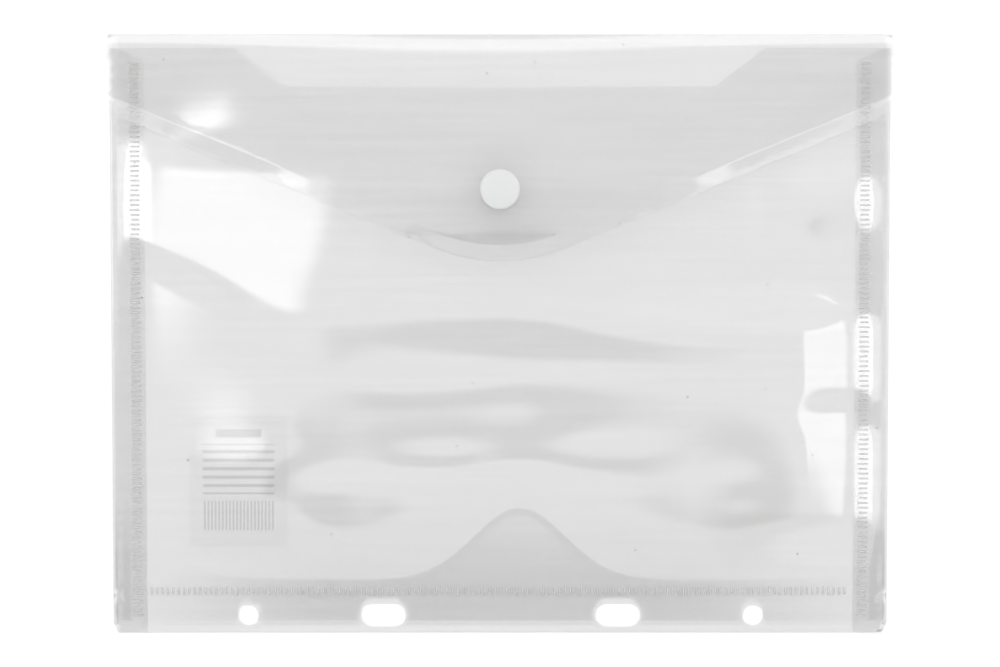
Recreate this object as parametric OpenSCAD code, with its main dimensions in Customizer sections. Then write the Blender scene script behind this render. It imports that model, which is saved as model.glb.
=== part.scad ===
// Clear press-stud document wallet, A5 size, lying on its back with the flap closed.
// X runs across the wallet, Y from the filing strip up to the top crease, Z up out of the front.
// The origin is the centre of the outline on the surface that the wallet lies on.
// One film blank makes the flap, back, filing strip, front and the two flanges behind the back.

/* [Wallet] */
// Height from the bottom fold to the top crease
wallet_h = 184.1; // [180:0.1:190]
// Width across the body at the top
top_w = 240.2; // [238:0.1:244]
// Width across the body at the bottom
bottom_w = 237.4; // [236:0.1:240]
// Thickness of the film
film = 0.2; // [0.15:0.01:0.25]
// Clear depth of the pocket when it is full
pocket_depth = 5.4; // [5.3:0.05:6]
// Clear width of the pocket at its full depth
pocket_w = 210.6; // [209:0.1:211]

/* [Flap] */
// Width across the flap's rounded corners
flap_w = 242.4; // [241:0.1:243]
// Distance from the crease down to the flap's tip
flap_drop = 70.1; // [68:0.1:72]
// Slope of the V edges
flap_slope = 22.9; // [20:0.1:25]
// Radius of the flap's outer corners
flap_corner_r = 12; // [8:0.5:14]
// Radius of the flap's tip
flap_tip_r = 54; // [40:1:60]

/* [Filing strip] */
// Height of the filing strip below the bottom weld
strip_h = 11.5; // [11:0.1:12]
// Distance of the hole centres from the bottom fold
hole_up = 5.5; // [5:0.1:6]
// Radius of the round filing holes
hole_r = 3; // [2.5:0.1:3]
// Distance between the round filing holes
hole_pitch = 155; // [155:1:155]
// Width of the filing slots
slot_w = 6.8; // [6:0.1:7]
// Length of the filing slots, end to end
slot_l = 13.5; // [12:0.5:16]
// Distance between the middles of the slots
slot_pitch = 72; // [70:0.5:74]

/* [Press stud] */
// Distance of the press stud below the crease
stud_drop = 48.2; // [46:0.1:50]
// Diameter of the caps
cap_d = 12.4; // [12:0.1:13]
// Diameter of the stud and the socket
ring_d = 10.6; // [10:0.1:11]

/* [Welds and flanges] */
// Width of the flanges that fold in behind the back panel
flange_w = 10.4; // [10:0.1:12]
// Distance of the side welds in from the side folds
side_weld_in = 7.5; // [7:0.1:8]
// Length of one bar of the side welds
side_bar = 3; // [2.5:0.1:3.2]
// Distance from bar to bar in the side welds
side_bar_pitch = 1.5; // [1.4:0.1:2]
// Length of one bar of the bottom weld
bottom_bar = 2.4; // [2:0.1:2.6]
// Distance from bar to bar in the bottom weld
bottom_bar_pitch = 1.65; // [1.5:0.05:2]

/* [Label] */
// Width of the paper label
label_w = 30; // [20:1:40]
// Height of the paper label
label_h = 40; // [30:1:50]

/* [Hidden] */

// Small allowances
gap = 0.05;         // clearance between a prong and its hole
far = 400;          // longer than anything in the model
weld_rise = 0.12;   // how far the weld bars stand above the film
bar_w = 0.6;        // thickness of a weld bar
edge_cut = 0.2;     // small bevel on the press stud's edges

// Levels above the surface: flange, back panel, front panel where it is welded
back_z = film;
front_z = 2 * film;
plateau_z = front_z + pocket_depth;

// Places along Y
top_y = wallet_h / 2;
bottom_y = -wallet_h / 2;
strip_top_y = bottom_y + strip_h;
stud_y = top_y - stud_drop;
hole_y = bottom_y + hole_up;
bottom_weld_up = 1.4;
bottom_weld_y = strip_top_y + bottom_weld_up;

// The top crease is a bead of film on the flap's hinge axis
crease_r = 0.25;
crease_y = top_y - crease_r;
crease_z = back_z + film / 2;
crease_clear = 0.06;                   // the flap leaves the crease this far above the back
crease_top_z = back_z + film + crease_clear;

// Sides: they close in by this angle towards the bottom
side_angle = atan((top_w - bottom_w) / 2 / wallet_h);
mid_half_w = (top_w + bottom_w) / 4;
fold_r = 1.5 * film;

// The flanges stop short of the top crease, on a slant
flange_top_out = 4.3;
flange_top_in = 8.3;

// Front panel: height profile from the strip up to its top edge
front_top_y = top_y - 4.3;
front_seam = 3.4;           // flat seam above the filing strip
bottom_ramp = 5.1;          // run over which the front rises from that seam
mouth_y = top_y - 17;       // where the front starts to come down to its top edge
mouth_z = 1.2;              // underside of the front at its top edge
side_ramp = 4.1;            // run over which the front rises from the side seams

// Thumb cut-out in the top edge of the front panel
notch_drop = 16.1;
notch_half_bottom = 65.9;
notch_half_top = 81.5;

// Flap: underside heights along Y, and the widths of its outline
flap_knee_y = top_y - 16.5;
flap_knee_clear = 0.35;
flap_knee_z = plateau_z + film + flap_knee_clear;
flap_flat = 8;              // half length of the level part around the press stud
flap_stand_off = 3.35;      // from the front panel up to the flap at the press stud
flap_z = plateau_z + film + flap_stand_off;
flap_tip_sag = 0.75;
flap_tip_z = flap_z - flap_tip_sag;
flap_bulge_drop = 16;       // distance below the crease of the flap's widest place
flap_crease_half_w = 120.6;
arc_steps = 12;

// Press stud: heights of the pieces, from the film of the front panel upwards
prong_r = 0.9;
cap_t = 1.3;
inner_cap_t = 1.1;
stud_base_t = 0.75;
knob_neck_r = 1.6;
knob_r = 1.85;
socket_bore_r = 2.45;
socket_web = 0.5;
rivet_r = 1.6;
rivet_t = 0.35;
stud_film_z = plateau_z + film;
knob_h = 2.3;
knob_head_h = 0.9;          // height of the knob's head
knob_bulge_down = 0.5;      // from the top of the knob down to its widest place
knob_top_z = stud_film_z + knob_h;
ring_gap = 0.25;            // clearance between the stud's flange and the socket
socket_bottom_z = stud_film_z + stud_base_t + ring_gap;
socket_bevel = 0.3;
cap_rim = 0.45;             // straight height of a cap's edge

// Label on the back, in the lower left corner as seen from the front
label_t = 0.1;
label_x = -80.4;
label_up = 46.6;            // from the bottom fold to the middle of the label
label_y = bottom_y + label_up;

// ---- Outlines and helpers ----

// Half the body's width at a place along Y
function half_w(y) = mid_half_w + y * tan(side_angle);

// Points of an arc about (cx, cy), from angle a to angle b
function arc(cx, cy, r, a, b) =
    [for (i = [0:arc_steps]) let (t = a + (b - a) * i / arc_steps) [cx + r * cos(t), cy + r * sin(t)]];

function mirrored(points) = [for (i = [len(points) - 1:-1:0]) [-points[i][0], points[i][1]]];

// Right half of the flap's outline, from the crease round the corner to the tip
tip_centre_y = top_y - flap_drop + flap_tip_r;
corner_x = flap_w / 2 - flap_corner_r;
corner_y = top_y - flap_bulge_drop;
flap_right = concat(
    [[flap_crease_half_w, top_y]],
    arc(corner_x, corner_y, flap_corner_r, 0, flap_slope - 90),
    arc(0, tip_centre_y, flap_tip_r, flap_slope - 90, -90));

module flap_outline() {
    polygon(concat(flap_right, mirrored(flap_right)));
}

// Outline of the body between two places along Y, in by a margin at each side
module body_outline(y0, y1, margin) {
    polygon([[half_w(y0) - margin, y0], [half_w(y1) - margin, y1],
             [margin - half_w(y1), y1], [margin - half_w(y0), y0]]);
}

// A solid whose top follows a profile of (y, z) points and whose base is deep below
module under_y_profile(points) {
    first = points[0];
    last = points[len(points) - 1];
    outline = concat(points, [[last[0], -far], [first[0], -far]]);
    rotate([90, 0, 90])
        linear_extrude(far, center = true)
            polygon(outline);
}

// The same, with the profile given as (x, z) points
module under_x_profile(points) {
    first = points[0];
    last = points[len(points) - 1];
    outline = concat(points, [[last[0], -far], [first[0], -far]]);
    rotate([90, 0, 0])
        linear_extrude(far, center = true)
            polygon(outline);
}

// Space under the front panel, raised by lift: flat seams, ramps and a level middle
module under_front(lift) {
    seam_x = pocket_w / 2 + side_ramp;
    low = front_z + lift;
    high = plateau_z + lift;
    intersection() {
        under_x_profile([[-far, low], [-seam_x, low], [-pocket_w / 2, high],
                         [pocket_w / 2, high], [seam_x, low], [far, low]]);
        under_y_profile([[-far, low],
                         [strip_top_y + front_seam, low],
                         [strip_top_y + front_seam + bottom_ramp, high],
                         [mouth_y, high],
                         [front_top_y, mouth_z + lift],
                         [far, mouth_z + lift]]);
    }
}

// Space under the flap, raised by lift
module under_flap(lift) {
    under_y_profile([[top_y - flap_drop - 1, flap_tip_z + lift],
                     [stud_y - flap_flat, flap_z + lift],
                     [stud_y + flap_flat, flap_z + lift],
                     [flap_knee_y, flap_knee_z + lift],
                     [crease_y - crease_r, crease_top_z + lift],
                     [top_y, crease_top_z + lift]]);
}

module notch_outline() {
    polygon([[-notch_half_bottom, top_y - notch_drop], [notch_half_bottom, top_y - notch_drop],
             [notch_half_top, front_top_y], [notch_half_top, front_top_y + 1],
             [-notch_half_top, front_top_y + 1], [-notch_half_top, front_top_y]]);
}

module stud_hole() {
    translate([0, stud_y, 0])
        cylinder(r = prong_r + gap, h = far, center = true, $fn = 32);
}

// Straight through the strip: a slot with round ends
module slot(x) {
    straight = (slot_l - slot_w) / 2;
    for (side = [-1, 1])
        translate([x + side * straight, hole_y, 0])
            cylinder(d = slot_w, h = far, center = true, $fn = 64);
    translate([x - straight, hole_y - slot_w / 2, -far / 2])
        cube([2 * straight, slot_w, far]);
}

// A cap: straight rim and a domed face, with its open side at z = 0
module cap_body(t) {
    half = cap_d / 2;
    rise = t - cap_rim;
    dome_r = (half * half + rise * rise) / (2 * rise);
    dome_angle = asin(half / dome_r);
    rotate_extrude($fn = 96)
        polygon(concat([[0, 0], [half, 0]], arc(0, t - dome_r, dome_r, 90 - dome_angle, 90)));
}

// One row of weld bars along Y, from y0 to y1
module side_bars(y0, y1) {
    count = floor((y1 - y0) / side_bar_pitch);
    for (i = [0:count])
        translate([-side_bar / 2, y0 + i * side_bar_pitch, 0])
            cube([side_bar, bar_w, weld_rise]);
}

// ---- Film ----

module back_panel() {
    color([0.86, 0.88, 0.89, 0.5])
        translate([0, 0, back_z])
            linear_extrude(film)
                body_outline(strip_top_y, crease_y - crease_r, fold_r);
}

module front_panel() {
    color([0.9, 0.92, 0.93, 0.5])
        difference() {
            intersection() {
                difference() {
                    under_front(film);
                    under_front(0);
                }
                linear_extrude(far)
                    body_outline(strip_top_y, front_top_y, fold_r);
            }
            linear_extrude(far)
                notch_outline();
            stud_hole();
        }
}

// Both layers of the film below the bottom weld, with the punched holes
module filing_strip() {
    corner = 2.8;
    corner_in = 1.4;
    bottom_half = half_w(bottom_y) - fold_r;
    color([0.78, 0.8, 0.81, 0.6])
        difference() {
            translate([0, 0, back_z])
                linear_extrude(2 * film)
                    difference() {
                        body_outline(bottom_y, strip_top_y, fold_r);
                        for (side = [-1, 1])
                            polygon([[side * bottom_half, bottom_y + corner],
                                     [side * (bottom_half - corner_in), bottom_y],
                                     [side * far, bottom_y - 1],
                                     [side * far, bottom_y + corner]]);
                    }
            for (side = [-1, 1]) {
                translate([side * hole_pitch / 2, hole_y, 0])
                    cylinder(r = hole_r, h = far, center = true, $fn = 64);
                slot(side * slot_pitch / 2);
            }
        }
}

// Side fold and the flange behind the back panel, along Y with the fold's outside at x = 0
module flange() {
    fold_trim = 3;
    length = wallet_h - flange_top_out;
    difference() {
        translate([0, top_y - flange_top_out, 0])
            rotate([90, 0, 0])
                union() {
                    linear_extrude(length)
                        translate([-flange_w, 0])
                            square([flange_w - fold_r, film]);
                    linear_extrude(length - fold_trim)
                        translate([-fold_r, fold_r])
                            intersection() {
                                difference() {
                                    circle(r = fold_r, $fn = 48);
                                    circle(r = fold_r - film, $fn = 48);
                                }
                                translate([0, -fold_r])
                                    square([fold_r, 2 * fold_r]);
                            }
                }
        translate([0, 0, -1])
            linear_extrude(far)
                polygon([[-fold_r, top_y - flange_top_out], [-flange_w, top_y - flange_top_in],
                         [-flange_w - 1, top_y - flange_top_in], [-flange_w - 1, top_y],
                         [-fold_r, top_y]]);
    }
}

module right_flange() {
    color([0.8, 0.82, 0.83, 0.6])
        translate([mid_half_w, 0, 0])
            rotate([0, 0, -side_angle])
                flange();
}

module left_flange() {
    mirror([1, 0, 0])
        right_flange();
}

// The hinge line of the flap: a solid bead of film along the top edge of the back panel
module top_crease() {
    color([0.75, 0.77, 0.78, 0.7])
        translate([0, crease_y, crease_z])
            rotate([0, 90, 0])
                cylinder(r = crease_r, h = 2 * flap_crease_half_w, center = true, $fn = 32);
}

module flap_panel() {
    color([0.88, 0.9, 0.91, 0.5])
        difference() {
            intersection() {
                difference() {
                    under_flap(film);
                    under_flap(0);
                }
                linear_extrude(far)
                    flap_outline();
            }
            translate([-far / 2, crease_y - crease_r - gap, -1])
                cube([far, far, far]);
            stud_hole();
        }
}

// ---- Welds ----

module right_weld() {
    top_in = 9;
    bottom_in = 5.5;
    color("gainsboro")
        translate([mid_half_w, 0, 0])
            rotate([0, 0, -side_angle])
                translate([-side_weld_in, 0, front_z + film])
                    side_bars(bottom_y + bottom_in, top_y - top_in - bar_w);
}

module left_weld() {
    mirror([1, 0, 0])
        right_weld();
}

module bottom_weld() {
    half_count = floor((half_w(bottom_weld_y) - side_weld_in - side_bar) / bottom_bar_pitch);
    color("gainsboro")
        for (i = [-half_count:half_count])
            translate([i * bottom_bar_pitch - bar_w / 2, bottom_weld_y - bottom_bar / 2,
                       front_z + film])
                cube([bar_w, bottom_bar, weld_rise]);
}

// ---- Press stud ----

// Male half on the front panel: a flange with a headed knob
module stud() {
    color("white")
        translate([0, stud_y, stud_film_z])
            rotate_extrude($fn = 96)
                polygon([[prong_r + gap, 0], [ring_d / 2, 0],
                         [ring_d / 2, stud_base_t - edge_cut],
                         [ring_d / 2 - edge_cut, stud_base_t], [knob_neck_r, stud_base_t],
                         [knob_neck_r, knob_h - knob_head_h], [knob_r, knob_h - knob_bulge_down],
                         [knob_neck_r, knob_h], [prong_r + gap, knob_h]]);
}

// Cap inside the pocket, with the prong that holds the stud
module inner_cap() {
    color("whitesmoke")
        translate([0, stud_y, plateau_z])
            union() {
                mirror([0, 0, 1])
                    cap_body(inner_cap_t);
                cylinder(r = prong_r, h = knob_top_z - plateau_z - 2 * gap, $fn = 32);
            }
}

// Female half under the flap: a ring that goes over the knob
module socket() {
    h = flap_z - socket_bottom_z;
    color("white")
        translate([0, stud_y, socket_bottom_z])
            rotate_extrude($fn = 96)
                polygon([[socket_bore_r + edge_cut, 0], [ring_d / 2 - socket_bevel, 0],
                         [ring_d / 2, socket_bevel], [ring_d / 2, h], [prong_r + gap, h],
                         [prong_r + gap, h - socket_web], [socket_bore_r, h - socket_web],
                         [socket_bore_r, edge_cut]]);
}

// Cap on the outside of the flap; its prong goes through the film and is headed in the socket
module outer_cap() {
    color("white")
        translate([0, stud_y, flap_z + film])
            union() {
                cap_body(cap_t);
                translate([0, 0, -film - socket_web])
                    cylinder(r = prong_r, h = film + socket_web, $fn = 32);
                translate([0, 0, -film - socket_web - rivet_t])
                    cylinder(r = rivet_r, h = rivet_t, $fn = 48);
            }
}

// ---- Label ----

module label() {
    corner_r = 1;
    color("snow")
        translate([label_x, label_y, back_z - label_t])
            linear_extrude(label_t)
                union() {
                    square([label_w - 2 * corner_r, label_h], center = true);
                    square([label_w, label_h - 2 * corner_r], center = true);
                    for (sx = [-1, 1], sy = [-1, 1])
                        translate([sx * (label_w / 2 - corner_r), sy * (label_h / 2 - corner_r)])
                            circle(r = corner_r, $fn = 24);
                }
}

back_panel();
front_panel();
filing_strip();
left_flange();
right_flange();
left_weld();
right_weld();
bottom_weld();
top_crease();
stud();
inner_cap();
label();
flap_panel();
outer_cap();
socket();
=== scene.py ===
import math

import bmesh
import bpy
import numpy as np
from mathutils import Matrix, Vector
from mathutils.geometry import delaunay_2d_cdt


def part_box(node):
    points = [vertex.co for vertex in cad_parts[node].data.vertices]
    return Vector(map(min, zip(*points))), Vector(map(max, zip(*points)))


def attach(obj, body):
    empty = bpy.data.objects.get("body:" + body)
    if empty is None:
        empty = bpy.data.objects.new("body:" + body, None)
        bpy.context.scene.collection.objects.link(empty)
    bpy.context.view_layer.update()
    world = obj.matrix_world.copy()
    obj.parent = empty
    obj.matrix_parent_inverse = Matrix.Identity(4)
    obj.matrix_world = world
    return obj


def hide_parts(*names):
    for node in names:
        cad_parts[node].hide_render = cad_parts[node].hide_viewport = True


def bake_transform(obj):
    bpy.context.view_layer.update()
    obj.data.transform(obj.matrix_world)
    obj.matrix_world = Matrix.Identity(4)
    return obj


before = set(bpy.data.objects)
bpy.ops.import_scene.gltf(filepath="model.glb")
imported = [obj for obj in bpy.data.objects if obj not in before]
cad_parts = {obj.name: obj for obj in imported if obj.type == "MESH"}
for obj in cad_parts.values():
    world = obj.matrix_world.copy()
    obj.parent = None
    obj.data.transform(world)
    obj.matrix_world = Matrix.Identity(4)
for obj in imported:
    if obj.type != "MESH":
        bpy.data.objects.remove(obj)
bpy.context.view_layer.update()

# Looks of a clear document wallet that lies on its back with its flap closed.
# Shapes are worked out in millimetres and turned into metres when a mesh is made.
# The film is drawn flat, as it is cut, and a "place" function folds each stretch of it into space.

MM = 0.001


# ---- Places and sizes, from the frame ----

def box_mm(node):
    low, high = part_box(node)
    return np.array(low) / MM, np.array(high) / MM


back_low, back_high = box_mm("back_panel")
front_high = box_mm("front_panel")[1]
strip_low, strip_high = box_mm("filing_strip")
flange_high = box_mm("right_flange")[1]
flap_high = box_mm("flap_panel")[1]
cap_low, cap_high = box_mm("outer_cap")
label_low, label_high = box_mm("label")
crease_high = box_mm("top_crease")[1]

FILM = back_high[2] - back_low[2]            # thickness of the film
HALF_FILM = FILM / 2
HAIR = 0.02                                  # gap left between films that lie on each other
TOP_Y = crease_high[1]                       # the top crease
BOTTOM_Y = strip_low[1]                      # the bottom fold
STRIP_Y = strip_high[1]                      # top of the filing strip, under the bottom weld
FRONT_TOP_Y = front_high[1]                  # top edge of the front panel beside the cut-out
STUD_Y = (cap_low[1] + cap_high[1]) / 2
HOLE_Y = BOTTOM_Y + 5.5                      # middle of the punched holes
TOP_HALF_W = flange_high[0]                  # half the body's width at the top
BOTTOM_HALF_W = flange_high[0] - 1.4
FLAP_HALF_W = flap_high[0]

BACK_Z = back_low[2]                         # underside of the back panel at the welds
FRONT_Z = 2 * FILM                           # underside of the front panel at the welds
STUD_Z = front_high[2] - FILM                # underside of the front panel at the press stud
CAP_T = 1.3                                  # thickness of the outer cap
FLAP_STUD_Z = cap_high[2] - CAP_T - FILM       # underside of the flap at the press stud

SEAM_X = 109.4                               # where the front leaves its side seams
SEAM_Y = STRIP_Y + 3.4                       # where it leaves the bottom seam


def half_w(y):
    """Half the body's width at a place along Y."""
    return BOTTOM_HALF_W + (TOP_HALF_W - BOTTOM_HALF_W) * (y - BOTTOM_Y) / (TOP_Y - BOTTOM_Y)


# ---- Shape of the film: heights of its undersides over X and Y ----

def smooth(u):
    u = np.clip(u, 0.0, 1.0)
    return u * u * (3.0 - 2.0 * u)


def swell(x, y, rows):
    """Sum of soft rises.

    Each is (centre x, centre y, reach along, reach across, turn in degrees, height).
    """
    z = np.zeros_like(x)
    for cx, cy, along, across, turn, rise in rows:
        a = math.radians(turn)
        u = ((x - cx) * math.cos(a) + (y - cy) * math.sin(a)) / along
        v = ((y - cy) * math.cos(a) - (x - cx) * math.sin(a)) / across
        z += rise * np.exp(-u * u - v * v)
    return z


FRONT_SWELLS = [
    (16, 4, 62, 9, -2, 0.55),                # three long waves across the middle
    (-16, -18, 52, 9, 3, 0.42),
    (-5, -40, 65, 7, 0, 0.38),
    (-50, -48, 20, 12, 0, -0.6),             # two dimples beside the bottom
    (74, -47, 20, 12, 0, -0.6),
    (-86, -52, 32, 26, 0, 2.4),              # a rise over the label
    (-55, -2, 40, 30, 0, 0.9),
]
BACK_SWELLS = [
    (15, -5, 50, 27, 10, 0.35),
]
FLAP_SWELLS = [
    (-38, 48, 24, 12, 0, -0.8),              # the flap bridges the slopes beside the press stud
    (42, 48, 24, 12, 0, -0.3),
]
LIFT = 3.5                                   # how high the empty pocket stands open


def clear_of_seams(x, y):
    return smooth((SEAM_X - np.abs(x)) / 40) * smooth((y - SEAM_Y) / 30)


def spring(distance, reach, ease):
    """Rises from a seam, steeply at first and then level."""
    distance = np.maximum(distance, 0.0)
    return (1 - np.exp(-distance / reach)) * smooth(distance / ease)


def stud_crown(x, y):
    return np.exp(-(x / 80) ** 2 - ((y - STUD_Y) / 34) ** 2)


def border_wave(x, y):
    """The welded side borders do not lie flat: here and there they arch up a little."""
    across = smooth((np.abs(x) - 60) / 45) * smooth((119 - np.abs(x)) / 12)
    notch = 0.75 * np.exp(-((y + 25) / 5) ** 2) * smooth((x - 88) / 15)
    right = 1.0 * smooth((y + 74) / 18) * smooth((12 - y) / 12) * (1 - notch)
    right = right + 1.0 * np.exp(-((y - 40) / 10) ** 2) * smooth((x - 80) / 20)
    left = 1.0 * smooth((above_ridge(x, y) + 8) / 10) * smooth((64 - y) / 18)
    return across * np.where(x > 0, right, left)


def above_ridge(x, y):
    """Distance above a slanting ridge at the left."""
    return 0.416 * (x + 120) + 0.909 * (y - 31.4)


def left_ridge(x, y):
    """The film falls away below a slanting ridge at the left."""
    below = 3 * np.logaddexp(0, -above_ridge(x, y) / 3)
    return -1.1 * (1 - np.exp(-below / 25)) * smooth((-30 - x) / 30)


def slack_height(x, y):
    """The front panel as it would stand without the press stud's pull.

    Above the press stud the film leaves its side seams further in (tuck). At the left it has a rounded
    shoulder. At the right it rises steeply below the middle and gently above it. At the bottom a
    tongue of flat film reaches up in the middle.
    """
    tuck = 8 * np.logaddexp(0, (y - STUD_Y - 2) / 8)
    round_end = 12 * smooth((32 - y) / 36) * smooth((x + 96) / 36)
    left = smooth((np.maximum(SEAM_X + x - 0.3 * tuck + round_end, 0) / 70) ** 0.85)
    steep = spring(SEAM_X - x - 0.5 * tuck, 15 + 1.5 * tuck, 16)
    gentle = smooth((SEAM_X - x) / 108)
    right = steep + (gentle - steep) * smooth((y + 4) / 22)
    share = smooth((x + 30) / 60)
    flat_tongue = 22 * np.exp(-((x - 6) / 20) ** 2)
    body = LIFT * (left * (1 - share) + right * share) * spring(y - SEAM_Y - flat_tongue, 20, 10)
    waves = (swell(x, y, FRONT_SWELLS) + left_ridge(x, y)) * clear_of_seams(x, y)
    return FRONT_Z + (body + waves) * smooth((TOP_Y - y) / 50) + border_wave(x, y)


def at_stud(height):
    return float(height(np.array([0.0]), np.array([STUD_Y]))[0])


CROWN = STUD_Z - at_stud(slack_height)       # how far the press stud draws the front panel up


def front_height(x, y):
    edges = clear_of_seams(x, y) * smooth((TOP_Y - y) / 50)
    edges = edges / smooth(np.array([(TOP_Y - STUD_Y) / 50]))
    return slack_height(x, y) + CROWN * stud_crown(x, y) * edges


def back_height(x, y):
    return BACK_Z + swell(x, y, BACK_SWELLS) * clear_of_seams(x, y) + border_wave(x, y)


SLOPE = math.radians(22.9)                   # slope of the flap's V edges
TIP_R = 54.0                                 # radius of the flap's tip
TIP_CENTRE_Y = TOP_Y - 70.1 + TIP_R
CORNER_R = 12.0                              # radius of the flap's outer corners
CORNER_Y = TOP_Y - 16.0


def v_edge_distance(x, y):
    """Distance from the flap's V edge, with its rounded tip, measured square to it."""
    straight = TIP_R - np.abs(x) * math.sin(SLOPE) - (TIP_CENTRE_Y - y) * math.cos(SLOPE)
    tip = TIP_R - np.hypot(x, TIP_CENTRE_Y - y)
    return np.where(np.arctan2(np.abs(x), TIP_CENTRE_Y - y) < SLOPE, tip, straight)


BAND = 4.8                                   # width of the border below the flap's score line
FLAP_GAP = 1.3                               # how far the flap stands off the front panel
STUD_GAP = FLAP_STUD_Z - STUD_Z - FILM - FLAP_GAP


def flap_height(x, y):
    drop = np.maximum(TOP_Y - 0.3 - y, 0.0)
    lift = 1 - np.exp(-drop / 3.5)
    near_stud = np.exp(-(x / 80) ** 2 - ((y - STUD_Y) / 42) ** 2)
    bridge = swell(x, y, FLAP_SWELLS)
    z = front_height(x, y) + FILM + bridge + lift * (FLAP_GAP + STUD_GAP * near_stud)
    border_tilt = 0.42 * smooth((np.abs(x) - 45) / 30) - 0.1 * smooth((40 - np.abs(x)) / 25)
    return z + border_tilt * np.maximum(BAND - v_edge_distance(x, y), 0.0)


# ---- Folding the flat film ----

FOLD_R = 0.45                                # radius of a side fold, at the middle of the film
BOTTOM_FOLD_R = 0.3
TOP_FOLD_R = 0.2
SIDE_RAMP = 4.0                              # width over which the front rises to a side fold
FLANGE_SPLIT = 1.5                           # how far the front's film runs past the side fold
SIDE_WRAP = math.pi * FOLD_R - FOLD_R + FLANGE_SPLIT  # film beyond the body's half width


def place_back(x, y):
    return x, y, back_height(x, y) + HALF_FILM


def place_flap(x, y):
    return x, y, flap_height(x, y) + HALF_FILM


def round_the_side(s, y, z):
    """Carries the film round the side fold: s runs outwards along the film from the centre line."""
    edge = half_w(y) - FOLD_R
    side = np.sign(s)
    run = np.abs(s)
    lift = 2 * FOLD_R + HALF_FILM - (FRONT_Z + HALF_FILM)
    z = z + lift * smooth((run - (edge - SIDE_RAMP)) / SIDE_RAMP)
    turn = np.clip((run - edge) / FOLD_R, 0, math.pi)
    past = np.maximum(run - edge - math.pi * FOLD_R, 0)
    out = np.minimum(run, edge) + FOLD_R * np.sin(turn) - past
    fold = HALF_FILM + FOLD_R + FOLD_R * np.cos(turn) + border_wave(side * out, y)
    return side * out, np.where(run > edge, fold, z)


def place_front(s, y):
    x, z = round_the_side(s, y, front_height(s, y) + HALF_FILM)
    return x, y, z


def place_strip(s, t):
    """The filing strip: t runs down the front layer, round the bottom fold and up the back layer."""
    start = BOTTOM_Y + HALF_FILM + BOTTOM_FOLD_R
    low = BACK_Z + HALF_FILM
    high = FRONT_Z + HALF_FILM
    down = start - t
    turn = np.clip(down / BOTTOM_FOLD_R, 0, math.pi)
    past = np.maximum(down - math.pi * BOTTOM_FOLD_R, 0)
    y = np.where(down > 0, start - BOTTOM_FOLD_R * np.sin(turn) + past, t)
    puff = 2 * BOTTOM_FOLD_R - (high - low)
    near = smooth(1 - np.maximum(down, -2.5) / -2.5)
    z = np.where(down > 0, low + BOTTOM_FOLD_R + BOTTOM_FOLD_R * np.cos(turn), high + puff * near)
    flat_z = np.where(down > 0, z, high + puff * near)
    x, z_side = round_the_side(s, y, flat_z)
    return np.where(down > 0, s, x), y, np.where(down > 0, z, z_side)


def place_flange(x, y):
    return x, y, HALF_FILM + border_wave(x, y)


# ---- Outlines, as the film is cut ----

def arc(cx, cy, r, start, end, steps):
    angles = np.radians(np.linspace(start, end, steps + 1))
    return [(cx + r * math.cos(a), cy + r * math.sin(a)) for a in angles]


def mirror(points):
    return [(-x, y) for x, y in reversed(points)]


def ring(cx, cy, r, steps=64):
    return arc(cx, cy, r, 0, 360, steps)[:-1]


def slot_ring(cx, cy, width, length, steps=24):
    r = width / 2
    straight = length / 2 - r
    return arc(cx + straight, cy, r, -90, 90, steps) + arc(cx - straight, cy, r, 90, 270, steps)


def along(a, b, step):
    """Points from a up to but without b, about a step apart."""
    count = max(1, round(math.dist(a, b) / step))
    return [(a[0] + (b[0] - a[0]) * i / count, a[1] + (b[1] - a[1]) * i / count) for i in range(count)]


class Outline:
    """A closed outline built edge by edge. A cut edge gets a rounded rim; a seam meets another piece."""

    def __init__(self, step):
        self.step = step
        self.points = []
        self.cuts = []

    def edge(self, points, cut):
        """Adds the path through the points, except for the last one."""
        start = len(self.points)
        for a, b in zip(points[:-1], points[1:]):
            self.points += along(a, b, self.step)
        path = self.points[start:] + [points[-1]]
        if cut:
            self.cuts.append(path)


# ---- Meshes ----

RIM = 0.3                                    # width of the rounded rim along a cut edge
THIN_RIM = 0.22                              # half thickness at a cut, as a share of the whole


def inside(points, loop):
    """Which points lie inside a closed loop, by crossings."""
    x, y = points[:, 0:1], points[:, 1:2]
    a = np.array(loop)
    b = np.roll(a, -1, axis=0)
    crosses = (a[:, 1] > y) != (b[:, 1] > y)
    rise = np.where(b[:, 1] == a[:, 1], 1e-12, b[:, 1] - a[:, 1])
    at = a[:, 0] + (y - a[:, 1]) * (b[:, 0] - a[:, 0]) / rise
    return (np.sum(crosses & (x < at), axis=1) % 2) == 1


def distance_to(points, paths):
    """Distance from each point to the nearest of some open paths."""
    best = np.full(len(points), 1e9)
    for path in paths:
        p = np.array(path)
        a, d = p[:-1], p[1:] - p[:-1]
        length = np.maximum((d * d).sum(1), 1e-12)
        for chunk in range(0, len(points), 2000):
            q = points[chunk:chunk + 2000, None, :]
            t = np.clip(((q - a) * d).sum(2) / length, 0, 1)
            gap = np.linalg.norm(q - (a + t[..., None] * d), axis=2).min(1)
            best[chunk:chunk + 2000] = np.minimum(best[chunk:chunk + 2000], gap)
    return best


def offset(path, by, closed):
    """A path moved sideways, to its left."""
    p = np.array(path)
    if closed:
        before, after = np.roll(p, 1, axis=0), np.roll(p, -1, axis=0)
    else:
        before = np.vstack([2 * p[0] - p[1], p[:-1]])
        after = np.vstack([p[1:], 2 * p[-1] - p[-2]])
    n1, n2 = left_of(p - before), left_of(after - p)
    n = n1 + n2
    n /= np.maximum((n * n).sum(1, keepdims=True), 0.3) / 2
    return [tuple(q) for q in p + by * n]


def left_of(d):
    d = d / np.maximum(np.linalg.norm(d, axis=1, keepdims=True), 1e-9)
    return np.stack([-d[:, 1], d[:, 0]], axis=1)


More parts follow.
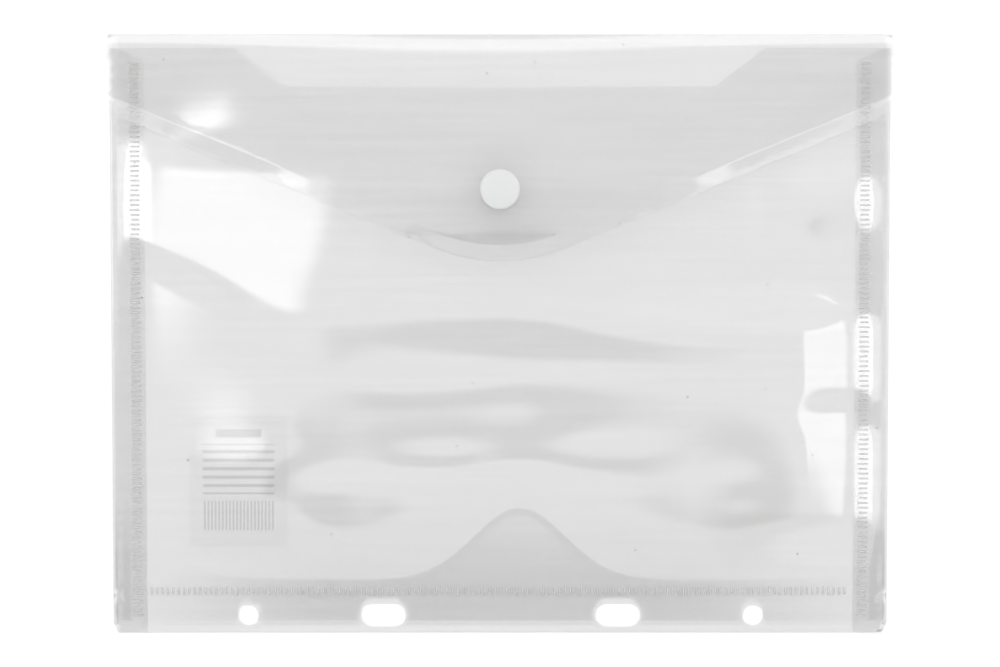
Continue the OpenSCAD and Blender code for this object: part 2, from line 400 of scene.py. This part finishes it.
def grid_points(loop, step):
    """Staggered points over the box of a loop."""
    p = np.array(loop)
    (x0, y0), (x1, y1) = p.min(0), p.max(0)
    rows = np.arange(y0, y1, step * 0.866)
    columns = np.arange(x0, x1, step)
    x, y = np.meshgrid(columns, rows)
    x[1::2] += step / 2
    return np.stack([x.ravel(), y.ravel()], axis=1)


def film_mesh(name, outline, place, holes=(), lines=(), ribs=(), painted_highlight_cuts=(), step=2.0,
              thickness=None):
    """A closed sheet of film: cut flat, folded by place(), and given its thickness.

    Rims along cuts get the second material, a painted shade on film. Ribs, such as a scored line, and the
    listed highlight cuts get the third, a painted highlight.
    """
    thickness = FILM - HAIR if thickness is None else thickness
    cut_paths = [*outline.cuts, *[[*hole, hole[0]] for hole in holes]]
    closed = [outline.points, *holes, *[offset(hole, RIM, True) for hole in holes]]
    rib_sides = [offset(rib, side * RIM / 2, False) for rib in ribs for side in (-1, 1)]
    open_paths = [*[offset(path, RIM, False) for path in outline.cuts], *lines, *rib_sides]
    flat, faces, centre = cut_flat(outline.points, holes, closed, open_paths, step)

    surface = np.zeros(len(faces), np.int32)
    # For film pieces, slot 1 is the painted shade along cut rims, and slot 2 the painted highlight along
    # ribs and the listed highlight cuts.
    surface[distance_to(centre, cut_paths) < RIM * 0.99] = 1
    surface[distance_to(centre, ribs) < RIM / 2 * 0.99] = 2
    surface[distance_to(centre, painted_highlight_cuts) < RIM * 0.99] = 2
    middle, normal = folded(place, flat)
    at_cut = distance_to(flat, cut_paths) < 1e-3
    half = normal * np.where(at_cut, THIN_RIM, 0.5)[:, None] * thickness
    return link(name, closed_sheet(name, middle + half, middle - half, faces, surface))


def within(points, loop, holes):
    """Which points lie on the film: inside its loop and outside its holes."""
    keep = inside(points, loop)
    for hole in holes:
        keep &= ~inside(points, hole)
    return keep


def cut_flat(loop, holes, closed, open_paths, step):
    """Triangles that fill the flat film and follow every path: points, faces, middles of the faces."""
    loose = grid_points(loop, step)
    loose = loose[within(loose, loop, holes)]
    near = distance_to(loose, [[*c, c[0]] for c in closed] + open_paths)
    loose = loose[near > step * 0.42]

    points, edges = [], []
    for path, is_closed in [(c, True) for c in closed] + [(p, False) for p in open_paths]:
        first = len(points)
        points += [Vector(p) for p in path]
        edges += [(first + i, first + i + 1) for i in range(len(path) - 1)]
        if is_closed:
            edges.append((first + len(path) - 1, first))
    points += [Vector(p) for p in loose]
    flat, _, faces, *_ = delaunay_2d_cdt(points, edges, [], 0, 1e-5)
    flat = np.array([tuple(p) for p in flat])
    faces = np.array(faces)
    centre = flat[faces].mean(axis=1)
    a, b, c = (flat[faces[:, k]] for k in range(3))
    area = (b[:, 0] - a[:, 0]) * (c[:, 1] - a[:, 1]) - (c[:, 0] - a[:, 0]) * (b[:, 1] - a[:, 1])
    keep = within(centre, loop, holes) & (np.abs(area) > 1e-7)
    faces, centre, area = faces[keep], centre[keep], area[keep]
    faces[area < 0] = faces[area < 0][:, ::-1]
    used, faces = np.unique(faces, return_inverse=True)
    return flat[used], faces.reshape(-1, 3), centre


def closed_sheet(name, top, bottom, faces, surface):
    """A mesh of two faces of film with walls between them. The walls get the second material."""
    count = len(top)
    directed = np.vstack([faces[:, [0, 1]], faces[:, [1, 2]], faces[:, [2, 0]]])
    known = set(map(tuple, directed))
    border = [(i, j) for i, j in known if (j, i) not in known]
    walls = [(j, i, i + count, j + count) for i, j in border]
    polygons = [tuple(f) for f in faces] + [tuple(f[::-1] + count) for f in faces] + walls
    mesh = bpy.data.meshes.new(name)
    mesh.from_pydata([tuple(v) for v in np.vstack([top, bottom]) * MM], [], polygons)

    slots = np.concatenate([surface, surface, np.ones(len(walls), np.int32)])
    mesh.polygons.foreach_set("material_index", slots)
    mesh.polygons.foreach_set("use_smooth", np.ones(len(slots), bool))
    bordering = {frozenset(e) for e in border} | {frozenset((i + count, j + count)) for i, j in border}
    sharp = [frozenset(e.vertices) in bordering for e in mesh.edges]
    attribute = mesh.attributes.new("sharp_edge", "BOOLEAN", "EDGE")
    attribute.data.foreach_set("value", sharp)
    mesh.update()
    return mesh


def folded(place, flat):
    """Where the flat points go, and the film's normals there."""
    reach = 0.02
    u, v = flat[:, 0], flat[:, 1]
    middle = np.stack(place(u, v), axis=1)
    along_u = np.stack(place(u + reach, v), axis=1) - np.stack(place(u - reach, v), axis=1)
    along_v = np.stack(place(u, v + reach), axis=1) - np.stack(place(u, v - reach), axis=1)
    normal = np.cross(along_u, along_v)
    return middle, normal / np.linalg.norm(normal, axis=1, keepdims=True)


def link(name, mesh):
    piece = bpy.data.objects.new(name, mesh)
    bpy.context.scene.collection.objects.link(piece)
    return piece


def lathe(name, profile, centre, steps=96):
    """A solid turned about a vertical axis, from (radius, height) points in order round the section."""
    mesh = bpy.data.meshes.new(name)
    turned = bmesh.new()
    rings = []
    for r, z in profile:
        if r < 1e-6:
            rings.append([turned.verts.new((centre[0] * MM, centre[1] * MM, z * MM))])
            continue
        ring_points = arc(centre[0], centre[1], r, 0, 360, steps)[:-1]
        rings.append([turned.verts.new((x * MM, y * MM, z * MM)) for x, y in ring_points])
    for low, high in zip(rings, rings[1:] + rings[:1]):
        for i in range(steps):
            j = (i + 1) % steps
            corner = [low[i % len(low)], low[j % len(low)], high[j % len(high)], high[i % len(high)]]
            unique = list(dict.fromkeys(corner))
            if len(unique) > 2:
                turned.faces.new(unique)
    bmesh.ops.recalc_face_normals(turned, faces=turned.faces)
    for face in turned.faces:
        face.smooth = True
    for e in turned.edges:
        e.smooth = len(e.link_faces) < 2 or e.calc_face_angle(0) < math.radians(40)
    turned.to_mesh(mesh)
    turned.free()
    return link(name, mesh)


# ---- Materials ----

class Nodes:
    """A short hand for building a node material."""

    def __init__(self, name):
        self.material = bpy.data.materials.new(name)
        self.material.use_nodes = True
        self.tree = self.material.node_tree
        self.tree.nodes.clear()
        self.output = self.tree.nodes.new("ShaderNodeOutputMaterial")

    def add(self, kind, values=None, links=None, **settings):
        node = self.tree.nodes.new("ShaderNode" + kind)
        for key, value in settings.items():
            setattr(node, key, value)
        for key, value in (values or {}).items():
            self.socket(node, key).default_value = value
        for key, source in (links or {}).items():
            self.tree.links.new(source, self.socket(node, key))
        return node

    def socket(self, node, key):
        """A shown input by its name, or by its number."""
        if isinstance(key, int):
            return node.inputs[key]
        return next(i for i in node.inputs if i.name == key and i.enabled)

    def math(self, operation, a, b=None, clamp=False):
        node = self.tree.nodes.new("ShaderNodeMath")
        node.operation = operation
        node.use_clamp = clamp
        for socket, value in zip(node.inputs, (a, b)):
            if value is None:
                continue
            if isinstance(value, (int, float)):
                socket.default_value = value
            else:
                self.tree.links.new(value, socket)
        return node.outputs[0]

    def finish(self, shader):
        self.tree.links.new(shader, self.output.inputs["Surface"])
        return self.material


def film_material(name, haze_and_painted_light, haze_and_painted_light_colour, roughness, edge_gain=1.0):
    """Clear film: it lets light through, mirrors a little at its face and more at a grazing angle."""
    n = Nodes(name)
    place = n.add("TexCoord").outputs["Object"]
    weight = n.add("LayerWeight", {"Blend": 0.5}).outputs["Facing"]
    grazing = n.math("POWER", weight, 5.0)
    mirror_part = n.math("ADD", n.math("MULTIPLY", grazing, 0.9), 0.065 * edge_gain, clamp=True)

    streaks = n.add("Mapping", {"Scale": (15.0, 520.0, 15.0)}, {"Vector": place})
    cloud = n.add("TexNoise", {"Scale": 1.0, "Detail": 3.0}, {"Vector": streaks.outputs[0]})
    specks = n.add("TexVoronoi", {"Scale": 70.0}, {"Vector": place}, feature="F1")
    speck = n.math("LESS_THAN", specks.outputs["Distance"], 0.016)
    cloudy = n.math("MULTIPLY", cloud.outputs["Fac"], 0.016)
    # The diffuse share and its colour are the clear film's own haze, with dust specks; the edge material
    # uses them for painted shade and the score material for a painted highlight.
    haze_and_painted_light_share = n.math("ADD", n.math("ADD", cloudy, haze_and_painted_light - 0.008),
                       n.math("MULTIPLY", speck, 0.6), clamp=True)
    dust_on_haze_and_painted_light = n.add("Mix", {"A": haze_and_painted_light_colour, "B": (0.03, 0.03, 0.03, 1)}, data_type="RGBA")
    n.tree.links.new(speck, dust_on_haze_and_painted_light.inputs[0])

    grain = n.add("TexNoise", {"Scale": 900.0, "Detail": 2.0}, {"Vector": place})
    bump = n.add("Bump", {"Strength": 0.0015, "Distance": 0.0002}, {"Height": grain.outputs["Fac"]})
    clear = n.add("BsdfTransparent", {"Color": (1, 1, 1, 1)})
    milky_and_painted_light = n.add("BsdfDiffuse", None, {"Color": dust_on_haze_and_painted_light.outputs[2]})
    gloss = n.add("BsdfGlossy", {"Color": (1, 1, 1, 1), "Roughness": roughness},
                  {"Normal": bump.outputs[0]})
    body = n.add("MixShader", None, {0: haze_and_painted_light_share, 1: clear.outputs[0], 2: milky_and_painted_light.outputs[0]})
    whole = n.add("MixShader", None, {0: mirror_part, 1: body.outputs[0], 2: gloss.outputs[0]})
    return n.finish(whole.outputs[0])


def stud_material():
    """Milky moulded plastic of the press stud."""
    n = Nodes("stud_plastic")
    place = n.add("TexCoord").outputs["Object"]
    grain = n.add("TexNoise", {"Scale": 1400.0, "Detail": 3.0}, {"Vector": place})
    tint = n.add("ValToRGB", None, {0: grain.outputs["Fac"]})
    tint.color_ramp.elements[0].color = (0.64, 0.65, 0.65, 1)
    tint.color_ramp.elements[1].color = (0.67, 0.675, 0.675, 1)
    bump = n.add("Bump", {"Strength": 0.05, "Distance": 0.0001}, {"Height": grain.outputs["Fac"]})
    plastic = n.add("BsdfPrincipled", {"Roughness": 0.32, "Subsurface Weight": 0.15,
                                       "Subsurface Scale": 0.001},
                    {"Base Color": tint.outputs[0], "Normal": bump.outputs[0]})
    return n.finish(plastic.outputs[0])


def label_material():
    """Sticker paper with rows of plain grey bars in place of print."""
    n = Nodes("label_paper")
    place = n.add("TexCoord").outputs["Object"]
    split = n.add("SeparateXYZ", None, {"Vector": place})
    x = n.math("SUBTRACT", n.math("DIVIDE", split.outputs[0], MM), float(label_low[0]))
    y = n.math("SUBTRACT", n.math("DIVIDE", split.outputs[1], MM), float(label_low[1]))

    def block(x0, x1, y0, y1):
        across = n.math("MULTIPLY", n.math("GREATER_THAN", x, x0), n.math("LESS_THAN", x, x1))
        up = n.math("MULTIPLY", n.math("GREATER_THAN", y, y0), n.math("LESS_THAN", y, y1))
        return n.math("MULTIPLY", across, up)

    def stripes(value, pitch, share):
        return n.math("LESS_THAN", n.math("FRACT", n.math("DIVIDE", value, pitch)), share)

    rows = n.math("MULTIPLY", block(4.0, 26.0, 16.0, 31.5), stripes(y, 2.6, 0.38))
    bars = n.math("MULTIPLY", block(4.0, 26.0, 5.0, 14.0), stripes(x, 1.1, 0.5))
    ink = n.math("ADD", n.math("ADD", rows, bars), block(8.0, 22.0, 33.5, 36.0), clamp=True)

    fibre = n.add("TexNoise", {"Scale": 2500.0, "Detail": 4.0}, {"Vector": place})
    tint = n.add("ValToRGB", None, {0: fibre.outputs["Fac"]})
    tint.color_ramp.elements[0].color = (0.82, 0.82, 0.82, 1)
    tint.color_ramp.elements[1].color = (0.88, 0.88, 0.88, 1)
    dark = n.add("Mix", {"B": (0.5, 0.5, 0.5, 1)}, {"A": tint.outputs[0]}, data_type="RGBA")
    n.tree.links.new(n.math("MULTIPLY", ink, 0.65), dark.inputs[0])
    bump = n.add("Bump", {"Strength": 0.1, "Distance": 0.00005}, {"Height": fibre.outputs["Fac"]})
    paper = n.add("BsdfPrincipled", {"Roughness": 0.8},
                  {"Base Color": dark.outputs[2], "Normal": bump.outputs[0]})
    return n.finish(paper.outputs[0])


def floor_material():
    n = Nodes("floor_paper")
    place = n.add("TexCoord").outputs["Object"]
    cloud = n.add("TexNoise", {"Scale": 3.0, "Detail": 2.0}, {"Vector": place})
    tint = n.add("ValToRGB", None, {0: cloud.outputs["Fac"]})
    tint.color_ramp.elements[0].color = (0.90, 0.90, 0.90, 1)
    tint.color_ramp.elements[1].color = (0.91, 0.91, 0.91, 1)
    paper = n.add("BsdfDiffuse", None, {"Color": tint.outputs[0]})
    return n.finish(paper.outputs[0])


film = film_material("clear_film", 0.040, (0.12, 0.12, 0.12, 1), 0.06)
# The edge material's grey diffuse is painted shade: it draws the dark line along the film's cut edges and
# over its walls.
film_edge_painted_shade = film_material("film_edge_painted_shade", 0.55, (0.33, 0.33, 0.33, 1), 0.15)
# The score material's pale diffuse is a painted highlight: it draws the bright line along the flap's
# score line and its V cut edge.
score_and_cut_painted_highlight = film_material("score_and_cut_painted_highlight", 0.8, (0.86, 0.86, 0.86, 1), 0.15)
weld_film = film_material("weld_film", 0.3, (0.66, 0.66, 0.66, 1), 0.2)
stud_plastic = stud_material()
label_paper = label_material()


def dress(piece, body, materials, replaced=()):
    """Gives a piece its materials and body, and hides the CAD nodes that it stands for."""
    piece.data.materials.clear()
    for material in materials:
        piece.data.materials.append(material)
    if body:
        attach(piece, body)
    if replaced:
        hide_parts(*replaced)
    return piece


# ---- Film pieces ----

def make_back():
    inset = 0.8
    low_w, high_w = half_w(STRIP_Y) - inset, half_w(TOP_Y) - inset
    end_y = TOP_Y - 0.9
    outline = Outline(2.0)
    outline.edge([(-low_w, STRIP_Y), (low_w, STRIP_Y)], cut=False)
    outline.edge([(low_w, STRIP_Y), (high_w, end_y)], cut=True)
    outline.edge([(high_w, end_y), (-high_w, end_y)], cut=False)
    outline.edge([(-high_w, end_y), (-low_w, STRIP_Y)], cut=True)
    piece = film_mesh("back_film", outline, place_back)
    return dress(piece, "pocket", [film, film_edge_painted_shade], ["back_panel"])


def side_lines(y0, y1):
    """Lines along the film where it bends round a side fold, so that the mesh follows the bend."""
    bends = [-1.0, -0.5] + [FOLD_R * math.pi * i / 12 for i in range(13)]
    lines = []
    for bend in bends:
        for side in (-1, 1):
            a = (side * (half_w(y0) - FOLD_R + bend), y0)
            b = (side * (half_w(y1) - FOLD_R + bend), y1)
            lines.append(along(a, b, 2.5) + [b])
    return lines


NOTCH_DROP = 16.1                            # the cut-out in the front's top edge
NOTCH_BOTTOM = 65.9
NOTCH_TOP = 81.5


def make_front():
    low_w, high_w = half_w(STRIP_Y) + SIDE_WRAP, half_w(FRONT_TOP_Y) + SIDE_WRAP
    notch_y = TOP_Y - NOTCH_DROP
    top = [(high_w, FRONT_TOP_Y), (NOTCH_TOP, FRONT_TOP_Y), (NOTCH_BOTTOM, notch_y),
           (-NOTCH_BOTTOM, notch_y), (-NOTCH_TOP, FRONT_TOP_Y), (-high_w, FRONT_TOP_Y)]
    outline = Outline(2.0)
    outline.edge([(-low_w, STRIP_Y), (low_w, STRIP_Y)], cut=False)
    outline.edge([(low_w, STRIP_Y), (high_w, FRONT_TOP_Y)], cut=False)
    outline.edge(top, cut=True)
    outline.edge([(-high_w, FRONT_TOP_Y), (-low_w, STRIP_Y)], cut=False)
    lines = side_lines(STRIP_Y + 0.05, FRONT_TOP_Y - 0.3)
    piece = film_mesh("front_film", outline, place_front, lines=lines)
    return dress(piece, "pocket", [film, film_edge_painted_shade], ["front_panel"])


HOLE_X = 77.5                                # round filing holes, from the centre line
HOLE_R = 3.0
SLOT_X = 36.0                                # filing slots, from the centre line
SLOT_W = 6.8
SLOT_L = 13.5


def hole_rings(y, shift):
    """The four punched holes of one layer, clockwise, at a small shift from their true places."""
    rings = []
    for side in (-1, 1):
        rings.append(ring(side * HOLE_X + shift, y, HOLE_R)[::-1])
        rings.append(slot_ring(side * SLOT_X + shift, y, SLOT_W, SLOT_L)[::-1])
    return rings


def make_strip():
    turn_length = math.pi * BOTTOM_FOLD_R
    start = BOTTOM_Y + HALF_FILM + BOTTOM_FOLD_R
    end = start - turn_length - (STRIP_Y - start)
    corner_y = BOTTOM_Y + 2.8
    wide_top, wide_low = half_w(STRIP_Y) + SIDE_WRAP, half_w(corner_y) + SIDE_WRAP
    neck = half_w(BOTTOM_Y) - 1.4
    inner = half_w(BOTTOM_Y) - 0.8
    shoulder = start - turn_length - 1.5
    right = [(neck, start), (half_w(corner_y) - 0.3, corner_y - 0.2), (wide_low, corner_y)]
    outline = Outline(2.0)
    outline.edge([(-inner, end), (inner, end)], cut=False)
    outline.edge([(inner, end), (inner - 0.1, shoulder), *right], cut=True)
    outline.edge([(wide_low, corner_y), (wide_top, STRIP_Y)], cut=False)
    outline.edge([(wide_top, STRIP_Y), (-wide_top, STRIP_Y)], cut=False)
    outline.edge([(-wide_top, STRIP_Y), (-wide_low, corner_y)], cut=False)
    outline.edge([*mirror(right), (-inner + 0.1, shoulder), (-inner, end)], cut=True)
    back_hole_t = start - turn_length - (HOLE_Y - start)
    holes = hole_rings(HOLE_Y, 0.0) + hole_rings(back_hole_t, 0.4)
    lines = []
    for i in range(9):
        t = start - turn_length * i / 8
        lines.append(along((-neck + 0.4, t), (neck - 0.4, t), 2.5))
    for lead in (0.6, 1.3, 2.0):
        lines.append(along((-neck + 0.4, start + lead), (neck - 0.4, start + lead), 2.5))
    lines += side_lines(corner_y + 0.3, STRIP_Y - 0.05)
    piece = film_mesh("strip_film", outline, place_strip, holes=holes, lines=lines)
    return dress(piece, "pocket", [film, film_edge_painted_shade], ["filing_strip"])


def make_flange(side, name):
    cut_in = 10.4
    split = FLANGE_SPLIT + FOLD_R
    top_y, inner_top_y = FRONT_TOP_Y, TOP_Y - 8.3
    low_y = BOTTOM_Y + 0.15
    points = [(half_w(low_y) - cut_in, low_y), (half_w(low_y) - split, low_y),
              (half_w(top_y) - split, top_y), (half_w(inner_top_y) - cut_in, inner_top_y)]
    if side < 0:
        points = mirror(points)
    outline = Outline(2.0)
    outline.edge([points[1], points[2]], cut=False)
    outline.edge([points[2], points[3], points[0], points[1]], cut=True)
    piece = film_mesh(name + "_film", outline, place_flange)
    return dress(piece, "pocket", [film, film_edge_painted_shade], [name])


def flap_edge_right(inwards, corner_start):
    """Right half of a line along the flap's cut edge, from its corner down to the tip."""
    corner = arc(FLAP_HALF_W - CORNER_R, CORNER_Y, CORNER_R - inwards, corner_start,
                 math.degrees(SLOPE) - 90, 14)
    tip = arc(0, TIP_CENTRE_Y, TIP_R - inwards, math.degrees(SLOPE) - 90, -90, 14)
    return [*corner, *tip]


def v_line(inwards):
    """A line along the flap's V, from the left corner round the tip to the right corner."""
    right = flap_edge_right(inwards, -40.0)
    corners = [(-x, y) for x, y in right] + right[-2::-1]
    line = []
    for a, b in zip(corners[:-1], corners[1:]):
        line += along(a, b, 2.0)
    return [*line, corners[-1]]


def make_flap():
    right = [(crease_high[0], TOP_Y - 0.3), *flap_edge_right(0.0, 0.0)]
    left = [(-x, y) for x, y in right]
    outline = Outline(2.0)
    outline.edge(left + right[-2::-1], cut=True)
    outline.edge([right[0], left[0]], cut=False)
    score = v_line(BAND)
    hole = ring(0, STUD_Y, PRONG_R, 24)[::-1]
    # The score line and the V cut edge are drawn bright with a painted highlight.
    piece = film_mesh("flap_film", outline, place_flap, holes=[hole], ribs=[score],
                      painted_highlight_cuts=[v_line(0.0)])
    return dress(piece, "flap", [film, film_edge_painted_shade, score_and_cut_painted_highlight], ["flap_panel"])


def make_top_fold():
    """The crease: a narrow strip of film that turns from the back panel over to the flap."""
    lead = 0.6
    centre_y = TOP_Y - HALF_FILM - TOP_FOLD_R
    turn_length = math.pi * TOP_FOLD_R
    low = BACK_Z + HALF_FILM

    def place(x, t):
        turn = np.clip((t - lead) / TOP_FOLD_R, 0, math.pi)
        back = np.maximum(t - lead - turn_length, 0)
        y = centre_y - np.maximum(lead - t, 0) + TOP_FOLD_R * np.sin(turn) - back
        z = low + TOP_FOLD_R - TOP_FOLD_R * np.cos(turn) + back * 0.2
        return x, y, z

    w = crease_high[0]
    end = lead + turn_length + 0.12
    outline = Outline(2.0)
    outline.edge([(-w, 0), (w, 0)], cut=False)
    outline.edge([(w, 0), (w, end)], cut=False)
    outline.edge([(w, end), (-w, end)], cut=False)
    outline.edge([(-w, end), (-w, 0)], cut=False)
    lines = []
    for i in range(9):
        t = lead + turn_length * i / 8
        lines.append(along((-w + 0.3, t), (w - 0.3, t), 3.0))
    piece = film_mesh("top_fold", outline, place, lines=lines)
    dress(piece, None, [film, film_edge_painted_shade], ["top_crease"])
    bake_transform(piece)
    return piece


# ---- Welds ----

def weld_bars(name, bars, replaced):
    """Raised, rounded bars. Each is (x, y, length, width, height of its foot, along X or not)."""
    mesh = bpy.data.meshes.new(name)
    grown = bmesh.new()
    rise = 0.16                                  # height of a bar
    across = [(-1, 0), (-0.7, 0.7), (0, 1), (0.7, 0.7), (1, 0)]
    for x, y, length, width, foot, flat_x in bars:
        sections = [(-0.5, 0.35), (-0.42, 1.0), (0.42, 1.0), (0.5, 0.35)]
        rows = []
        for place, size in sections:
            row = []
            for u, v in across:
                a, b, c = place * length, u * width / 2 * size, foot + v * rise * size
                dx, dy = (a, b) if flat_x else (-b, a)
                c += float(border_wave(x + dx, y + dy))
                row.append(grown.verts.new(((x + dx) * MM, (y + dy) * MM, c * MM)))
            rows.append(row)
        for one, two in zip(rows[:-1], rows[1:]):
            for i in range(len(across) - 1):
                grown.faces.new((one[i], two[i], two[i + 1], one[i + 1]))
        for one, two in zip(rows[:-1], rows[1:]):
            grown.faces.new((one[-1], two[-1], two[0], one[0]))
        grown.faces.new(rows[0])
        grown.faces.new(rows[-1][::-1])
    bmesh.ops.recalc_face_normals(grown, faces=grown.faces)
    for face in grown.faces:
        face.smooth = True
    grown.to_mesh(mesh)
    grown.free()
    return dress(link(name, mesh), "pocket", [weld_film], replaced)


def make_welds():
    rng = np.random.default_rng(7)
    foot = FRONT_Z + FILM - 0.02
    for side, name in ((-1, "left_weld"), (1, "right_weld")):
        bars = []
        for y in np.arange(BOTTOM_Y + 5.5, TOP_Y - 9.0, 1.5):
            bars.append((side * (half_w(y) - 7.5) + rng.normal(0, 0.08), y, 3.0 + rng.normal(0, 0.2),
                         0.55, foot, True))
        weld_bars(name + "_bars", bars, [name])
    bars = []
    for x in np.arange(-107.0, 107.1, 1.65):
        bars.append((x, STRIP_Y + 1.4 + rng.normal(0, 0.05), 2.4 + rng.normal(0, 0.12), 0.6,
                     foot, False))
    weld_bars("bottom_weld_bars", bars, ["bottom_weld"])


# ---- Press stud ----

PRONG_R = 0.95                               # hole for the prong through the flap, socket and stud


def make_press_stud():
    at = (0, STUD_Y)
    cap_r = (cap_high[0] - cap_low[0]) / 2
    z = FLAP_STUD_Z + FILM
    cap = [(0, z), (cap_r - 0.5, z), (cap_r - 0.12, z + 0.1), (cap_r, z + 0.3), (cap_r - 0.05, z + 0.55),
           (cap_r - 0.3, z + 0.8), (cap_r - 0.9, z + 0.98)]
    cap += [(cap_r * f, z + CAP_T - 0.32 * f * f) for f in (0.7, 0.5, 0.3, 0.15)] + [(0, z + CAP_T)]
    dress(lathe("stud_cap", cap, at), "flap", [stud_plastic], ["outer_cap"])

    low, high = box_mm("socket")
    r = high[0]
    bore = 2.45
    socket = [(bore + 0.2, low[2]), (r - 0.5, low[2]), (r - 0.12, low[2] + 0.15), (r, low[2] + 0.5),
              (r, high[2] - 0.1), (r - 0.1, high[2]), (PRONG_R, high[2]),
              (PRONG_R, high[2] - 0.5),
              (bore, high[2] - 0.5), (bore, low[2] + 0.2)]
    dress(lathe("stud_socket", socket, at), "flap", [stud_plastic], ["socket"])

    low, high = box_mm("stud")
    r = high[0]
    stud = [(PRONG_R, low[2]), (r, low[2]), (r, low[2] + 0.45), (r - 0.25, low[2] + 0.72),
            (2.1, low[2] + 0.75), (1.7, low[2] + 0.85), (1.6, low[2] + 1.3), (1.85, high[2] - 0.55),
            (1.7, high[2] - 0.12), (1.4, high[2]), (PRONG_R, high[2])]
    dress(lathe("stud_knob", stud, at), "pocket", [stud_plastic], ["stud"])

    low, high = box_mm("inner_cap")
    r = high[0]
    inner = [(0, low[2])] + [(r * f, low[2] + 0.3 * f * f) for f in (0.3, 0.5, 0.7, 0.85)]
    inner += [(r - 0.2, low[2] + 0.45), (r, low[2] + 0.75), (r - 0.05, low[2] + 1.0),
              (r - 0.2, low[2] + 1.1), (0.9, low[2] + 1.1),
              (0.9, high[2] - 0.15), (0.7, high[2]), (0, high[2])]
    dress(lathe("stud_inner_cap", inner, at), "pocket", [stud_plastic], ["inner_cap"])


# ---- Label ----

def make_label():
    x0, y0, x1, y1 = label_low[0], label_low[1], label_high[0], label_high[1]
    r = 1.0
    thick = label_high[2] - label_low[2]
    corners = (arc(x1 - r, y0 + r, r, -90, 0, 6) + arc(x1 - r, y1 - r, r, 0, 90, 6)
               + arc(x0 + r, y1 - r, r, 90, 180, 6) + arc(x0 + r, y0 + r, r, 180, 270, 6))
    outline = Outline(1.5)
    outline.edge(corners + [corners[0]], cut=False)

    def place(x, y):
        return x, y, back_height(x, y) - thick / 2 - HAIR

    # Its walls use the second material slot, so the paper fills both.
    piece = film_mesh("label_paper", outline, place, step=1.5, thickness=thick)
    return dress(piece, "pocket", [label_paper, label_paper], ["label"])


# ---- Floor, lights and camera ----

def make_stage():
    size, drop = 8.0, -0.05 * MM
    mesh = bpy.data.meshes.new("floor")
    corners = [(-size, -size, drop), (size, -size, drop), (size, size, drop), (-size, size, drop)]
    mesh.from_pydata(corners, [], [(0, 1, 2, 3)])
    floor = link("floor", mesh)
    floor.data.materials.append(floor_material())


def make_world():
    """A soft studio dome with bright screens around it, a dim patch overhead and a dim horizon.

    Places on the dome are (x, y) offsets from straight up, at a height of one.
    """
    world = bpy.data.worlds.new("studio")
    bpy.context.scene.world = world
    world.use_nodes = True
    tree = world.node_tree
    tree.nodes.clear()

    def node(kind, *values, **settings):
        made = tree.nodes.new("ShaderNode" + kind)
        for key, value in settings.items():
            setattr(made, key, value)
        for socket, value in zip(made.inputs, values):
            if isinstance(value, bpy.types.NodeSocket):
                tree.links.new(value, socket)
            else:
                socket.default_value = value
        return made.outputs[0]

    direction = tree.nodes.new("ShaderNodeTexCoord").outputs["Generated"]
    split = tree.nodes.new("ShaderNodeSeparateXYZ")
    tree.links.new(direction, split.inputs[0])
    up = node("Math", split.outputs[2], 0.02, operation="MAXIMUM")
    x = node("Math", split.outputs[0], up, operation="DIVIDE")
    y = node("Math", split.outputs[1], up, operation="DIVIDE")

    tilt = node("Math", node("Math", x, 2.0, operation="POWER"),
                node("Math", y, 2.0, operation="POWER"), operation="ADD")
    tilt = node("Math", tilt, operation="SQRT")

    def rise(value, start, end):
        return node("MapRange", value, start, end, 0.0, 1.0, interpolation_type="SMOOTHSTEP")

    def product(*factors):
        total = factors[0]
        for factor in factors[1:]:
            total = node("Math", total, factor, operation="MULTIPLY")
        return total

    def screen(x0, x1, y0, y1, soft_x, soft_y):
        return product(rise(x, x0 - soft_x, x0 + soft_x), rise(x, x1 + soft_x, x1 - soft_x),
                       rise(y, y0 - soft_y, y0 + soft_y), rise(y, y1 + soft_y, y1 - soft_y))

    parts = [
        (-1.18, screen(-0.11, 0.11, -0.17, -0.078, 0.05, 0.02)),      # the dim patch overhead
        (2.1, screen(-0.7, -0.19, 0.0, 0.22, 0.025, 0.025)),          # left screen
        (1.8, screen(0.27, 0.8, -0.1, 0.24, 0.025, 0.025)),           # right screen
        (1.5, screen(-1.5, 1.5, 0.58, 1.1, 0.3, 0.08)),               # back screen
        (0.2, rise(y, 0.05, 0.2)),                                    # the back half is a little brighter
        (1.2, screen(-1.2, 1.2, -1.5, -0.75, 0.2, 0.1)),              # front screen
        (-0.85, rise(tilt, 1.2, 2.4)),                                # the dim horizon
    ]
    level = 1.25
    for strength, shape in parts:
        level = node("Math", product(strength, shape), level, operation="ADD")
    background = tree.nodes.new("ShaderNodeBackground")
    tree.links.new(level, background.inputs["Strength"])
    output = tree.nodes.new("ShaderNodeOutputWorld")
    tree.links.new(background.outputs[0], output.inputs["Surface"])


def make_camera():
    lens, sensor, view_w = 90.0, 36.0, 306.3     # view_w is what the view spans at film_z
    film_z = 3.0
    data = bpy.data.cameras.new("camera")
    data.lens = lens
    data.sensor_width = sensor
    camera = bpy.data.objects.new("camera", data)
    camera.location = (0.0, 0.0, view_w * lens / sensor * MM + film_z * MM)
    bpy.context.scene.collection.objects.link(camera)
    bpy.context.scene.camera = camera


make_camera()
make_back()
make_front()
make_strip()
make_flange(-1, "left_flange")
make_flange(1, "right_flange")
make_flap()
make_top_fold()
make_welds()
make_press_stud()
make_label()
make_stage()
make_world()

scene = bpy.context.scene
scene.cycles.transparent_max_bounces = 32
scene.view_settings.view_transform = "Standard"
